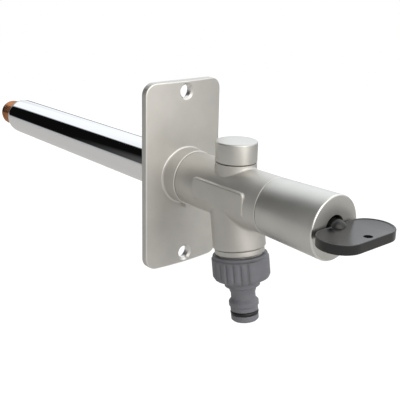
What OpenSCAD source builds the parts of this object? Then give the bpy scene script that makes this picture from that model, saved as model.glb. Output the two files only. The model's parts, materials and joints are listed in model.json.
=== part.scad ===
// Frost free sillcock: a wall tap whose valve sits deep inside the warm wall.
// Millimetres. The origin is the centre of the wall plate's back face, on the tap's axis.
// +Y runs into the wall, -Y comes out to the user, +Z is up.

/* [Wall plate] */
// Width of the wall plate
plate_w = 58; // [50:1:75]
// Height of the wall plate
plate_h = 118; // [112:1:150]
// Depth of the plate's edge, from the wall to its front
plate_edge = 4; // [3.5:0.5:6]
// How far the crowned front stands proud of the edge, on the centre line
plate_crown = 2.5; // [1:0.5:4]
// Thickness of the plate's casting
plate_wall = 3.2; // [2.5:0.1:3.4]
// Radius of the plate's corners
plate_corner = 7.5; // [4:0.5:12]
// Width of the flat rim that bears on the wall
plate_rim = 2.2; // [1.6:0.2:5]
// Distance of each fixing hole from the plate's end
screw_inset = 6.5; // [6.4:0.1:20]
// Diameter of a fixing hole
screw_hole = 8; // [5:0.5:8.5]
// Diameter of the countersink for the screw's head
screw_head = 10.8; // [10:0.2:14]
// Diameter of the collar where it leaves the plate
collar_d = 35; // [34.5:0.5:40]
// Diameter of the collar at its front rim
collar_front_d = 34.2; // [33.4:0.2:34.4]
// Distance from the wall to the collar's front rim
collar_reach = 16; // [12:0.5:20]
// Width of the lug under the collar
lug_w = 5; // [3:0.5:8]
// How far the lug reaches below the collar
lug_drop = 3.4; // [2:0.2:5]

/* [Casing tube] */
// Outer diameter of the tube through the wall
tube_d = 28.6; // [27:0.2:29]
// Wall thickness of the tube
tube_wall = 1.5; // [1:0.1:2]
// Depth of the tube's closed-in nose behind the wall plate
tube_depth = 232; // [150:1:400]
// Length of the rounded nose
nose_len = 10; // [8:1:20]
// How deep the tube sits in the tap body
tube_insert = 12; // [8:0.5:14]

/* [Inlet] */
// Outer diameter of the G 1/2 inlet thread
inlet_thread_d = 20.955; // [19:0.005:21.5]
// Length of the inlet thread that stands out of the nose
inlet_thread_len = 15; // [10:0.5:20]
// Diameter of the inlet's waterway
inlet_bore_d = 15; // [12:0.5:16]
// Diameter of the opening inside the valve seat
seat_bore_d = 11; // [9:0.5:12]
// Width of the raised valve seat
seat_land = 1.7; // [1:0.1:2]
// Distance from the valve seat to the tube's nose end
seat_setback = 22; // [18:0.5:40]

/* [Tap body] */
// Diameter of the barrel
body_d = 33; // [32.4:0.2:34]
// Length of the barrel, from the collar to the seam
body_len = 67.8; // [64:0.2:80]
// Distance from the wall to the axis of the spout and the air valve
outlet_y = 51.6; // [48:0.2:54]
// Diameter of the waterway in the barrel
waterway_d = 20; // [18:0.5:22]
// Diameter of the front spigot that carries the sleeve
spigot_d = 29.2; // [28:0.2:29.8]
// Length of the front spigot
spigot_len = 7.2; // [5:0.2:9]
// Distance from the wall to the rear end of the flat side panel
panel_from = 33; // [28:1:36]
// Length of the flat side panel
panel_len = 42; // [36:1:46]
// Height of the panel's top edge above the axis
panel_top = 8; // [5:0.5:10]
// Distance from the axis to the panel's flat face
panel_face = 17; // [16.6:0.1:18]
// How far the flat face runs below the axis before it blends into the barrel
panel_low = 4; // [0:0.5:6]
// Radius of the panel's corners
panel_corner = 2.5; // [1:0.5:4]

/* [Spout] */
// Angle by which the spout leans forward
spout_lean = 9.4; // [0:0.2:14]
// Diameter of the spout where it leaves the barrel
spout_top_d = 29.8; // [28:0.2:31]
// Diameter of the spout at its shoulder
spout_d = 30.9; // [29.4:0.1:32]
// Distance along the spout from the tap's axis to the shoulder
spout_len = 31.4; // [29:0.2:36]
// Diameter of the neck below the shoulder
neck_d = 29; // [28:0.1:29.2]
// Length of the neck
neck_len = 3.1; // [3:0.1:8]
// Outer diameter of the G 3/4 outlet thread
outlet_thread_d = 26.44; // [25:0.01:27]
// Length of the outlet thread
outlet_thread_len = 11.6; // [9:0.1:14]
// Diameter of the spout's bore
spout_bore_d = 18; // [14:0.5:19]
// Cast fillet between the barrel and its branches
fillet = 2.2; // [1:0.2:4]

/* [Air valve] */
// Diameter of the cap and of the boss under it
cap_d = 24; // [22:0.5:26]
// Height of the boss's top above the tap's axis
boss_top = 18.5; // [17.6:0.1:24]
// Air gap between the boss and the cap
cap_gap = 0.5; // [0.3:0.1:1]
// Height of the cap
cap_h = 11.7; // [10:0.1:16]
// Rounding of the cap's top edge
cap_round = 1; // [0.5:0.1:2]
// Diameter of the air valve's thread in the boss
insert_d = 16; // [15:0.2:17]
// Lift of the air valve's float
float_lift = 4.3; // [3:0.1:4.6]

/* [Sleeve] */
// Diameter of the sleeve's front end
sleeve_front_d = 34.6; // [33:0.2:38]
// Distance from the wall to the sleeve's front face
sleeve_front = 123.5; // [123:0.5:128]
// Thickness of the sleeve's front wall
sleeve_face = 3; // [2:0.2:4]
// Diameter of the keyhole
keyhole_d = 13.5; // [12:0.1:16]
// Chamfer round the sleeve's front edge
sleeve_edge = 0.8; // [0.4:0.1:1.5]
// Seam between the body and the sleeve
seam = 0.3; // [0.2:0.1:0.6]

/* [Headwork] */
// Diameter of the headwork's thread in the body
headwork_d = 24; // [22:0.5:25]
// How deep the headwork sits in the body
headwork_reach = 20.4; // [20:0.2:22]
// Width across flats of the headwork's flange
headwork_flats = 24; // [20:0.5:25]
// Width across flats of the gland nut's head
gland_flats = 17; // [15:0.5:18]
// Width across flats of the rod nut
rod_nut_flats = 11; // [10:0.1:11.5]
// Diameter of the spindle's thread
spindle_thread_d = 8; // [6:0.5:8.5]
// Diameter of the spindle's shaft
spindle_d = 9; // [8.6:0.1:9.4]
// Width across flats of the spindle's square end
square_w = 6; // [5:0.1:6]
// Travel of the valve between shut and open
valve_travel = 5.5; // [4:0.1:5.5]

/* [Valve rod] */
// Diameter of the long rod
rod_d = 6; // [5:0.5:7]
// Diameter of the valve head
head_d = 16.8; // [15.8:0.1:20]
// Thickness of the rubber seat washer
washer_t = 3.9; // [3:0.1:5]

/* [Key] */
// Length of the key's bow
key_len = 46.5; // [36:0.5:60]
// Width of the key's bow
key_w = 23.4; // [18:0.2:28]
// Thickness of the key's bow
key_t = 5; // [4:0.2:6]
// Diameter of the key's stem
key_stem_d = 10.4; // [10:0.1:11.2]
// Distance between the bow and the sleeve's front face
key_gap = 1.1; // [0.6:0.1:3]
// Width of the rim round the bow's dished faces
key_rim = 2.6; // [1.5:0.1:4]
// Depth of the bow's dished faces
key_dish = 0.9; // [0.3:0.1:1.2]
// Diameter of the hole for a key ring
ring_hole_d = 4.5; // [3:0.1:5]

/* [Hose connector] */
// Diameter over the ribs of the connector's nut
nut_d = 33.6; // [32.6:0.1:38]
// Length of the nut, from its top to its shoulder
nut_len = 13.2; // [12.8:0.2:16]
// Number of grip grooves in each of the two groups
groove_count = 7; // [5:2:9]
// Angle between two grip grooves
groove_pitch = 15; // [12:0.5:17]
// Depth of the grip grooves
groove_depth = 0.6; // [0.3:0.1:1]
// Diameter of the nipple's neck
nipple_neck_d = 14.4; // [13.6:0.1:15]
// Diameter of the nipple's locking ring
nipple_ring_d = 17.5; // [17:0.1:18]
// Diameter of the nipple's tip
nipple_tip_d = 16.2; // [15.6:0.1:16.6]
// Diameter of the nipple's bore
nipple_bore_d = 9.6; // [8:0.1:10]
// Length of the nipple below the nut
nipple_len = 23.2; // [22:0.1:28]
// Thickness of the seal near the nipple's tip
ring_section = 2.2; // [1.6:0.1:2.4]

/* [Hidden] */
$fn = 96;

// Radial clearance of a turned part in its bore
fit = 0.05;
// Clearance between parts that pass each other freely
clear = 0.3;
// Overlap of a cutter past the face that it opens
over = 1;

// Colours
satin = [0.72, 0.71, 0.68];
chrome = [0.85, 0.86, 0.87];
gunmetal = [0.72, 0.45, 0.28];
brass = [0.80, 0.66, 0.35];
steel = [0.70, 0.71, 0.72];
rubber = [0.06, 0.06, 0.06];
nylon = [0.90, 0.89, 0.84];
key_black = [0.12, 0.12, 0.13];
connector_grey = [0.40, 0.41, 0.45];

// Places along the tap's axis, counted from the wall towards the user
tube_front = collar_reach + tube_insert;
body_end = collar_reach + body_len;
spigot_end = body_end + spigot_len;
sleeve_back = body_end + seam;
thread_back = body_end - headwork_reach;
nut_room = 20.5;
collar_seat = thread_back + nut_room;
headwork_neck = 10;
headwork_groove = thread_back + 3;
tube_groove = collar_reach + 6;
groove_w = 2.2;
flange_t = 4;
flange_end = spigot_end + flange_t;
headwork_end = flange_end + 4;
gland_head = 3;
gland_end = headwork_end + 0.5 + gland_head;
square_back = gland_end + 1.5;
key_mouth = square_back + 0.5;
square_end = sleeve_front - sleeve_face - 2.5;
bow_back = sleeve_front + key_gap;
bow_mid = bow_back + key_w / 2;

// Spindle and rod nut
thrust_t = 2.9;
ring_from = collar_seat + thrust_t + 3.3;
ring_pitch = 3.4;
thrust_r = 7;
bore_r = thrust_r + 0.1;
gland_r = bore_r - fit;
nut_back = thread_back + 0.5;
nut_front = nut_back + nut_room - valve_travel - 1;
tip = nut_front - 6.4;
tail_len = 6;
tail_r = rod_d / 2 + 1.8;

// Valve
seat_at = -(tube_depth - seat_setback);
washer_face = seat_at + 0.1;
washer_back = washer_face + washer_t;
head_len = 14;
head_front = washer_back + head_len;
rod_end = washer_back + 6;
seat_lip = 2;

// Radii
tube_r = tube_d / 2;
tube_bore = tube_r - tube_wall;
nose_r = inlet_thread_d / 2 + 1.12;
nose_hole = inlet_thread_d / 2 + fit + 0.05;
thread_relief = 0.3;
body_r = body_d / 2;
plug_r = tube_bore - fit;

// Crowned front of the wall plate: an arc through the edges and the middle
half_w = plate_w / 2;
screw_spacing = plate_h - 2 * screw_inset;
crown_r = (half_w * half_w + plate_crown * plate_crown) / (2 * plate_crown);
plate_front = plate_edge + plate_crown;
inner_front = plate_front - plate_wall;

// Air valve, heights above the tap's axis
insert_r = insert_d / 2 - fit;
insert_low = boss_top - 11.5;
flange_h = 1.7;
flange_r = insert_r + 1.7;
neck_r = insert_r + 0.4;
insert_high = boss_top + 6.5;
chamber_r = insert_r - 1.45;
clip_low = insert_low + 1.6;
clip_t = 0.8;
float_low = clip_low + clip_t + 0.1;
float_t = 1.4;
seal_t = 1.2;
air_seat = float_low + float_t + seal_t + float_lift + 0.1;
port_r = 3;
stem_r = 1.55;
cap_low = boss_top + cap_gap;
cap_top = cap_low + cap_h;
cap_thread_low = boss_top + 2.4;
cap_thread_high = cap_thread_low + 3.2;

// Places along the spout's axis, counted down from the tap's axis
thread_from = spout_len + neck_len;
thread_to = thread_from + outlet_thread_len;
flat_seal = 2.4;
floor_at = thread_to + flat_seal + 0.1;
nut_top = thread_from + 0.9;
rib_low = nut_top + nut_len;
step_at = rib_low + 4.6;
tip_end = step_at + nipple_len;
ring_groove = tip_end - 5.2;
groove_half = ring_section / 2 + 0.1;
groove_floor = nipple_tip_d / 2 + 0.2 - ring_section;
grip_turn = 16;

// Frame of the tap's axis: local Z runs from the wall towards the user
module tap_axis() {
    rotate([90, 0, 0]) children();
}

// Frame of the spout: local -Z runs down the leaning spout
module spout_axis() {
    translate([0, -outlet_y, 0]) rotate([-spout_lean, 0, 0]) children();
}

// Frame of the air valve: upright on the tap's axis
module air_axis() {
    translate([0, -outlet_y, 0]) children();
}

// A disc or rod between two places on an axis
module rod(r, from, to) {
    translate([0, 0, min(from, to)]) cylinder(r = r, h = abs(to - from));
}

// A ring between two places on an axis
module ring(r_out, r_in, from, to) {
    difference() {
        rod(r_out, from, to);
        rod(r_in, min(from, to) - over, max(from, to) + over);
    }
}

// A rubber ring of round section
module o_ring(r_mid, r_section, at) {
    translate([0, 0, at]) rotate_extrude() translate([r_mid, 0]) circle(r = r_section, $fn = 32);
}

// A bar with flats, between two places
module flats(width, sides, from, to) {
    r = width / 2 / cos(180 / sides);
    translate([0, 0, from]) rotate([0, 0, 180 / sides]) cylinder(r = r, h = to - from, $fn = sides);
}

// An outline with round corners, centred
module round_rect(w, h, r) {
    square([w - 2 * r, h], center = true);
    square([w, h - 2 * r], center = true);
    for (sx = [-1, 1], sy = [-1, 1])
        translate([sx * (w / 2 - r), sy * (h / 2 - r)]) circle(r = r);
}

// A slab that is crowned across its width, standing on the wall
module crowned_slab(w, h, corner, front) {
    intersection() {
        linear_extrude(height = front + over) round_rect(w, h, corner);
        translate([0, 0, front - crown_r]) rotate([90, 0, 0]) {
            cylinder(r = crown_r, h = h + 2 * over, center = true, $fn = 360);
        }
    }
}

// Both fixing holes, one above the other
module at_screws() {
    for (side = [-1, 1]) translate([0, side * screw_spacing / 2, 0]) children();
}

// A hole for a countersunk screw, cut from the front
module screw_cut() {
    sink = (screw_head - screw_hole) / 2;
    rod(screw_hole / 2, -over, plate_front + over);
    translate([0, 0, plate_front - sink]) {
        cylinder(r1 = screw_hole / 2, r2 = screw_head / 2, h = sink);
        translate([0, 0, sink]) cylinder(r = screw_head / 2, h = over);
    }
}

// Crowned plate, hollow behind but for two screw bosses, with its collar: one casting
module wall_plate() color(satin) tap_axis() {
    inner_w = plate_w - 2 * plate_rim;
    inner_h = plate_h - 2 * plate_rim;
    inner_corner = max(1, plate_corner - plate_rim / 2);
    difference() {
        union() {
            difference() {
                crowned_slab(plate_w, plate_h, plate_corner, plate_front);
                difference() {
                    translate([0, 0, -over]) crowned_slab(inner_w, inner_h, inner_corner, inner_front + over);
                    at_screws() rod(screw_hole / 2 + plate_rim, -2 * over, plate_front);
                }
            }
            rotate_extrude() polygon([
                [0, 0],
                [collar_d / 2 + 1, 0],
                [collar_d / 2 + 1, plate_front - 0.2],
                [collar_d / 2, plate_front + 0.8],
                [collar_front_d / 2, collar_reach - 0.5],
                [collar_front_d / 2 - 0.5, collar_reach],
                [0, collar_reach]]);
            translate([-lug_w / 2, -collar_d / 2 - lug_drop, inner_front]) {
                cube([lug_w, lug_drop + 2, plate_front + 3.4 - inner_front]);
            }
        }
        rod(tube_r + clear, -over, collar_reach + over);
        at_screws() screw_cut();
    }
}

// Tube through the wall, drawn in to a rounded nose at its far end
module casing_tube() color(chrome) tap_axis() {
    bend = -(tube_depth - nose_len);
    drop = tube_r - nose_r;
    rotate_extrude() difference() {
        union() {
            translate([0, bend]) square([tube_r, tube_front - bend]);
            intersection() {
                translate([0, -tube_depth]) square([tube_r, nose_len]);
                translate([0, bend]) polygon(concat([[0, 0]], [for (a = [0 : 10 : 90])
                    [nose_r + drop * cos(a), -nose_len * sin(a)]], [[0, -nose_len]]));
            }
        }
        translate([-over, -tube_depth - over]) square([nose_hole + over, nose_len + over]);
        polygon([
            [-over, tube_front + over],
            [tube_bore, tube_front + over],
            [tube_bore, bend - nose_len * 0.3],
            [nose_hole + 0.9, bend - nose_len * 0.8],
            [-over, bend - nose_len * 0.8]]);
    }
}

// Inlet with its thread, the plug inside the tube and the raised valve seat
module inlet_stub() color(gunmetal) tap_axis() {
    bend = -(tube_depth - nose_len);
    seat_r = seat_bore_d / 2 + seat_land;
    back = -tube_depth - inlet_thread_len;
    groove = seat_at - seat_lip - 3;
    difference() {
        rotate_extrude() polygon([
            [0, seat_at],
            [seat_r, seat_at],
            [seat_r, seat_at - seat_lip],
            [plug_r, seat_at - seat_lip],
            [plug_r, groove],
            [plug_r - 1.2, groove],
            [plug_r - 1.2, groove - 2],
            [plug_r, groove - 2],
            [plug_r, bend - nose_len * 0.3],
            [nose_hole + 0.8, bend - nose_len * 0.8 + 0.1],
            [inlet_thread_d / 2 - thread_relief, bend - nose_len * 0.8 + 0.1],
            [inlet_thread_d / 2 - thread_relief, thread_relief - tube_depth - 1],
            [inlet_thread_d / 2, -tube_depth - 1],
            [inlet_thread_d / 2, back + 1],
            [inlet_thread_d / 2 - 1, back],
            [0, back]]);
        rod(inlet_bore_d / 2, back - over, seat_at - seat_lip - 4);
        rod(seat_bore_d / 2, seat_at - seat_lip - 5, seat_at + over);
    }
}

// Seal between the inlet and the tube
module inlet_o_ring() color(rubber) tap_axis() {
    o_ring(plug_r - 0.6, 0.55, seat_at - seat_lip - 4);
}

// Outer form of the cast body, without its bores
module body_outside() {
    tap_axis() rod(body_r, collar_reach, body_end);
    tap_axis() rod(spigot_d / 2, body_end - over, spigot_end);
    air_axis() rod(cap_d / 2, 0, boss_top);
    spout_axis() {
        translate([0, 0, -spout_len]) cylinder(r1 = spout_d / 2, r2 = spout_top_d / 2, h = spout_len);
        rod(neck_d / 2, -thread_from, -spout_len + over);
        rod(outlet_thread_d / 2, -thread_to, -thread_from + over);
    }
    side_panel();
    cast_fillet(spout_top_d / 2 + 0.25, 180 - spout_lean, fillet);
    cast_fillet(cap_d / 2, 0, min(fillet, boss_top - body_r - 0.1));
}

// Flat panel on the barrel's left side: a ledge above, a tangent blend into the barrel below
module side_panel() {
    reach = norm([panel_face, panel_low]);
    turn = atan2(panel_low, panel_face) + acos(body_r / reach);
    mid = panel_from + panel_len / 2;
    deep = panel_top + body_r;
    intersection() {
        translate([0, -panel_from, 0]) rotate([90, 0, 0]) linear_extrude(height = panel_len) polygon([
            [-5, panel_top],
            [-panel_face, panel_top],
            [-panel_face, -panel_low],
            [-body_r * cos(turn), -body_r * sin(turn)],
            [-5, -5]]);
        translate([-panel_face - over, -mid, panel_top - deep / 2]) rotate([0, 90, 0]) {
            linear_extrude(height = panel_face) round_rect(deep, panel_len, panel_corner);
        }
    }
}

// What the barrel, grown by one amount, shares with a branch, grown by another amount
module junction(branch_r, grow, spread, tilt) {
    intersection() {
        rotate([90, 0, 0]) cylinder(r = body_r + grow, h = 3 * (branch_r + spread), center = true, $fn = 48);
        rotate([tilt, 0, 0]) translate([0, 0, body_r / 3]) {
            cylinder(r = branch_r + spread, h = body_r, $fn = 48);
        }
    }
}

// Cast fillet round a branch, in three facets; the tilt is 0 for the boss and turns it over for the spout
module cast_fillet(branch_r, tilt, size) air_axis() {
    steps = [[-0.04, size], [0.134 * size, size / 2], [size / 2, 0.134 * size], [size, -0.06]];
    for (k = [0 : 2]) hull() {
        junction(branch_r, steps[k][0], steps[k][1], tilt);
        junction(branch_r, steps[k + 1][0], steps[k + 1][1], tilt);
    }
}

// Cast body with its socket, waterways and threads
module tap_body() color(satin) difference() {
    body_outside();
    tap_axis() {
        rod(tube_r + fit, collar_reach - over, tube_front);
        rod(tube_r + 1.3, tube_groove, tube_groove + groove_w + 0.2);
        rod(waterway_d / 2, tube_front - over, thread_back + over);
        rod(headwork_d / 2, thread_back, spigot_end + over);
    }
    spout_axis() rod(spout_bore_d / 2, -thread_to - over, 0);
    air_axis() {
        rod(insert_d / 2, 0, boss_top + over);
        rod(insert_d / 2 + 1.4, boss_top - 1.2, boss_top + over);
    }
}

// Seal between the tube and the body
module tube_o_ring() color(rubber) tap_axis() {
    o_ring(tube_r + 0.65, 0.6, tube_groove + groove_w / 2 + 0.1);
}

// Brass headwork screwed into the body: it guides the rod nut and holds the spindle
module headwork() color(brass) tap_axis() difference() {
    union() {
        rod(headwork_d / 2 - fit, thread_back + 0.1, spigot_end + 0.2);
        flats(headwork_flats, 6, spigot_end + 0.1, flange_end);
        rod(headwork_neck, flange_end - over, headwork_end);
    }
    flats(rod_nut_flats + 0.4, 6, thread_back - over, collar_seat + over);
    rod(bore_r, collar_seat, headwork_end + over);
    ring(headwork_d / 2 + over, headwork_d / 2 - 1.35, headwork_groove, headwork_groove + groove_w);
}

// Seal round the headwork
module headwork_seal() color(rubber) tap_axis() {
    o_ring(headwork_d / 2 - 0.68, 0.6, headwork_groove + groove_w / 2);
}

// Gland nut that keeps the spindle in the headwork
module gland_nut() color(brass) tap_axis() difference() {
    union() {
        rod(gland_r, collar_seat + thrust_t + 0.3, headwork_end + 0.5);
        flats(gland_flats, 6, headwork_end + 0.1, gland_end);
    }
    rod(spindle_d / 2 + fit, collar_seat, gland_end + over);
}

// Slightly flared sleeve over the headwork, with the keyhole in its front
module sleeve() color(satin) tap_axis() {
    front_r = sleeve_front_d / 2;
    rotate_extrude() polygon([
        [spigot_d / 2 + fit, sleeve_back],
        [body_r - 0.3, sleeve_back],
        [body_r, sleeve_back + 0.3],
        [front_r, sleeve_front - sleeve_edge],
        [front_r - sleeve_edge, sleeve_front],
        [keyhole_d / 2, sleeve_front],
        [keyhole_d / 2, sleeve_front - sleeve_face],
        [spigot_d / 2 + 0.5, sleeve_front - sleeve_face],
        [spigot_d / 2 + 0.5, spigot_end + 0.5],
        [spigot_d / 2 + fit, spigot_end + 0.5]]);
}

// Spindle: screw, thrust collar, shaft and square end
module spindle() color(steel) tap_axis() {
    difference() {
        union() {
            rod(spindle_thread_d / 2 - fit, tip, collar_seat + 0.2);
            rod(thrust_r, collar_seat + 0.1, collar_seat + thrust_t);
            rod(spindle_d / 2, collar_seat + thrust_t - 0.1, square_back);
            flats(square_w, 4, square_back - 0.1, square_end);
        }
        for (at = [ring_from, ring_from + ring_pitch])
            ring(spindle_d / 2 + over, spindle_d / 2 - 1.2, at - 0.7, at + 0.7);
    }
}

// Two seals on the spindle's shaft
module spindle_o_rings() color(rubber) tap_axis() {
    for (at = [ring_from, ring_from + ring_pitch]) o_ring(spindle_d / 2 - 0.6, 0.55, at);
}

// Six-sided nut that the spindle draws forward without turning
module rod_nut() color(brass) tap_axis() difference() {
    union() {
        flats(rod_nut_flats, 6, nut_back, nut_front);
        rod(tail_r, nut_back - tail_len, nut_back + 0.1);
    }
    rod(spindle_thread_d / 2, tip - valve_travel - 0.1, nut_front + over);
    rod(rod_d / 2 + 0.03, nut_back - tail_len - over, nut_back + 0.8);
}

// Long rod from the headwork to the valve in the warm wall
module valve_rod() color(steel) tap_axis() {
    rod(rod_d / 2, rod_end, nut_back + 0.7);
}

// Finned guides that centre the rod in the tube
module rod_guides() color(nylon) tap_axis() {
    for (at = [0.26 * seat_at, 0.8 * seat_at]) difference() {
        union() {
            rod(rod_d / 2 + 2, at - 4, at + 4);
            for (turn = [0, 90]) rotate([0, 0, turn]) {
                translate([-tube_bore + clear, -1, at - 4]) cube([2 * (tube_bore - clear), 2, 8]);
            }
        }
        rod(rod_d / 2 + 0.03, at - 4 - over, at + 4 + over);
    }
}

// Holder of the seat washer on the rod's end
module valve_head() color(brass) tap_axis() difference() {
    union() {
        rod(head_d / 2, washer_back - 1.5, washer_back + 6);
        rod(rod_d / 2 + 2.5, washer_back + 5.9, head_front);
    }
    rod(head_d / 2 - 0.7, washer_back - 1.5 - over, washer_back);
    rod(rod_d / 2 + 0.03, rod_end - 0.1, head_front + over);
    rod(1.53, washer_back - over, rod_end);
}

// Rubber washer that shuts on the seat
module seat_washer() color(rubber) tap_axis() {
    ring(head_d / 2 - 0.8, 1.55, washer_face, washer_back);
}

// Screw that holds the washer
module washer_screw() color(steel) tap_axis() difference() {
    union() {
        rod(1.5, washer_face - 0.1, washer_back + 4);
        rod(3.3, washer_face - 2.2, washer_face);
    }
    translate([-0.4, -5, washer_face - 2.2 - over]) cube([0.8, 10, 1 + over]);
}

// Body of the air valve, screwed into the boss
module breaker_insert() color(brass) air_axis() difference() {
    union() {
        rod(insert_r, insert_low, boss_top + 0.1);
        rod(flange_r, boss_top, boss_top + flange_h);
        rod(neck_r, boss_top + flange_h - 0.1, insert_high);
    }
    rod(chamber_r, insert_low - over, air_seat);
    rod(chamber_r + 0.7, clip_low - 0.1, clip_low + clip_t + 0.1);
    rod(port_r, air_seat - over, insert_high + over);
    rod(5, boss_top + 3.6, insert_high + over);
    for (turn = [0, 90]) rotate([0, 0, turn]) {
        translate([-1, -neck_r - over, boss_top + 4.4]) cube([2, 2 * (neck_r + over), 4]);
    }
}

// Seal under the air valve's flange
module breaker_o_ring() color(rubber) air_axis() {
    o_ring(insert_d / 2 + 0.7, 0.55, boss_top - 0.6);
}

// Spring ring that catches the float
module breaker_clip() color(steel) air_axis() difference() {
    ring(chamber_r + 0.6, chamber_r - 1.5, clip_low, clip_low + clip_t);
    translate([-1.2, 0, clip_low - over]) cube([2.4, chamber_r + 2, clip_t + 2 * over]);
}

// Float that rises with the water and drops to let air in
module breaker_float() color(nylon) air_axis() {
    rod(chamber_r - 0.7, float_low, float_low + float_t);
    rod(stem_r, float_low + float_t - 0.1, boss_top + 2);
}

// Rubber seal on the float
module breaker_seal() color(rubber) air_axis() {
    ring(chamber_r - 0.9, stem_r + 0.02, float_low + float_t, float_low + float_t + seal_t);
}

// Cap over the air valve, held off the boss by the air gap
module breaker_cap() color(satin) air_axis() difference() {
    rotate_extrude() {
        translate([0, cap_low]) square([cap_d / 2, cap_h - cap_round]);
        translate([0, cap_low]) square([cap_d / 2 - cap_round, cap_h]);
        translate([cap_d / 2 - cap_round, cap_top - cap_round]) circle(r = cap_round, $fn = 48);
    }
    rod(flange_r + 0.8, cap_low - over, cap_thread_low);
    rod(neck_r + fit, cap_thread_low - over, cap_thread_high);
    rod(neck_r + 0.8, cap_thread_high, cap_top - 2.4);
    for (turn = [45 : 90 : 315]) rotate([0, 0, turn]) {
        translate([neck_r, 0, cap_thread_low - over]) cylinder(r = 0.9, h = 5, $fn = 24);
    }
}

// Outline of the key's bow, drawn in by a margin
module bow_outline(margin) {
    r = key_w / 2 - margin;
    square([key_len - key_w, 2 * r], center = true);
    for (side = [-1, 1]) translate([side * (key_len - key_w) / 2, 0]) circle(r = r);
}

// Plastic socket key: bow, stem and square socket
module socket_key() color(key_black) difference() {
    union() {
        difference() {
            translate([0, -bow_mid, -key_t / 2]) linear_extrude(height = key_t) bow_outline(0);
            for (side = [-1, 1]) translate([0, -bow_mid, side * (key_t - key_dish) / 2]) {
                linear_extrude(height = key_dish + 0.01, center = true) bow_outline(key_rim);
            }
        }
        tap_axis() rotate_extrude() {
            square_from = bow_back - key_mouth;
            translate([0, key_mouth]) square([key_stem_d / 2, square_from + 0.5]);
            intersection() {
                translate([0, bow_back]) circle(r = key_stem_d / 2, $fn = 64);
                translate([0, bow_back]) square(key_stem_d);
            }
        }
    }
    tap_axis() {
        flats(square_w + 0.2, 4, key_mouth - over, square_end + 1);
    }
    translate([0, -bow_back - key_w + ring_hole_d / 2 + 2.6, -key_t]) {
        cylinder(d = ring_hole_d, h = 2 * key_t);
    }
}

// Flat seal between the spout and the connector
module connector_washer() color(rubber) spout_axis() {
    ring(outlet_thread_d / 2 - 0.4, spout_bore_d / 2 - 0.4, -thread_to - 0.05, -thread_to - flat_seal);
}

// Outer half of the connector's section: radius, then place down the spout
function connector_outside() = [
    [nut_d / 2 - 0.8, nut_top],
    [nut_d / 2 - 0.8, nut_top + 2.4],
    [nut_d / 2, nut_top + 3],
    [nut_d / 2, rib_low],
    [nut_d / 2 - 0.95, rib_low + 1.8],
    [nipple_tip_d / 2 + 2.3, rib_low + 4.5],
    [nipple_tip_d / 2 + 2.3, step_at + 1.8],
    [nipple_tip_d / 2 + 1.1, step_at + 2.8],
    [nipple_tip_d / 2 + 0.1, step_at + 3.8],
    [nipple_neck_d / 2 + 0.35, step_at + 5.4],
    [nipple_neck_d / 2, step_at + 7],
    [nipple_neck_d / 2, tip_end - 13.8],
    [nipple_ring_d / 2, tip_end - 11.9],
    [nipple_ring_d / 2, tip_end - 9.5],
    [nipple_tip_d / 2, tip_end - 8.9],
    [nipple_tip_d / 2, ring_groove - groove_half],
    [groove_floor, ring_groove - groove_half],
    [groove_floor, ring_groove + groove_half],
    [nipple_tip_d / 2, ring_groove + groove_half],
    [nipple_tip_d / 2, tip_end - 1.1],
    [nipple_tip_d / 2 - 1.1, tip_end - 0.1],
    [nipple_tip_d / 2 - 1.9, tip_end]];

// Hose connector: nut with two groups of grip grooves, and nipple, in one moulding
module hose_connector() color(connector_grey) spout_axis() difference() {
    rotate_extrude() polygon([for (p = concat([[0, nut_top]], connector_outside(), [[0, tip_end]]))
        [p[0], -p[1]]]);
    rod(outlet_thread_d / 2 + fit, -floor_at, -nut_top + over);
    translate([0, 0, -floor_at - 3]) {
        cylinder(r1 = nipple_bore_d / 2, r2 = nipple_bore_d / 2 + 2.5, h = 3.01);
    }
    rod(nipple_bore_d / 2, -tip_end - over, -floor_at);
    half = (groove_count - 1) / 2;
    for (side = [0, 180], k = [-half : half]) rotate([0, 0, grip_turn + side + k * groove_pitch]) {
        translate([nut_d / 2 + 1 - groove_depth, 0, -rib_low - 2]) {
            cylinder(r = 1, h = nut_len - 1.6, $fn = 24);
        }
    }
}

// Seal near the nipple's tip
module connector_o_ring() color(rubber) spout_axis() {
    o_ring(groove_floor + 0.05 + ring_section / 2, ring_section / 2, -ring_groove);
}

wall_plate();
casing_tube();
inlet_stub();
inlet_o_ring();
tap_body();
tube_o_ring();
headwork();
headwork_seal();
gland_nut();
sleeve();
spindle();
spindle_o_rings();
rod_nut();
valve_rod();
rod_guides();
valve_head();
seat_washer();
washer_screw();
breaker_insert();
breaker_o_ring();
breaker_clip();
breaker_float();
breaker_seal();
breaker_cap();
socket_key();
connector_washer();
hose_connector();
connector_o_ring();
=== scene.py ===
# %% [markdown]
# # Frost free sillcock
# An outdoor wall tap whose valve sits deep inside the warm wall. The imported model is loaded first, as a
# fixed frame. Every piece below is made in millimetres, in the frame's own axes: +Y runs into the wall,
# -Y comes out to the user and +Z is up.

# %% The frame and its box
import json
import math

import bmesh
import bpy
from mathutils import Matrix, Vector


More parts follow.
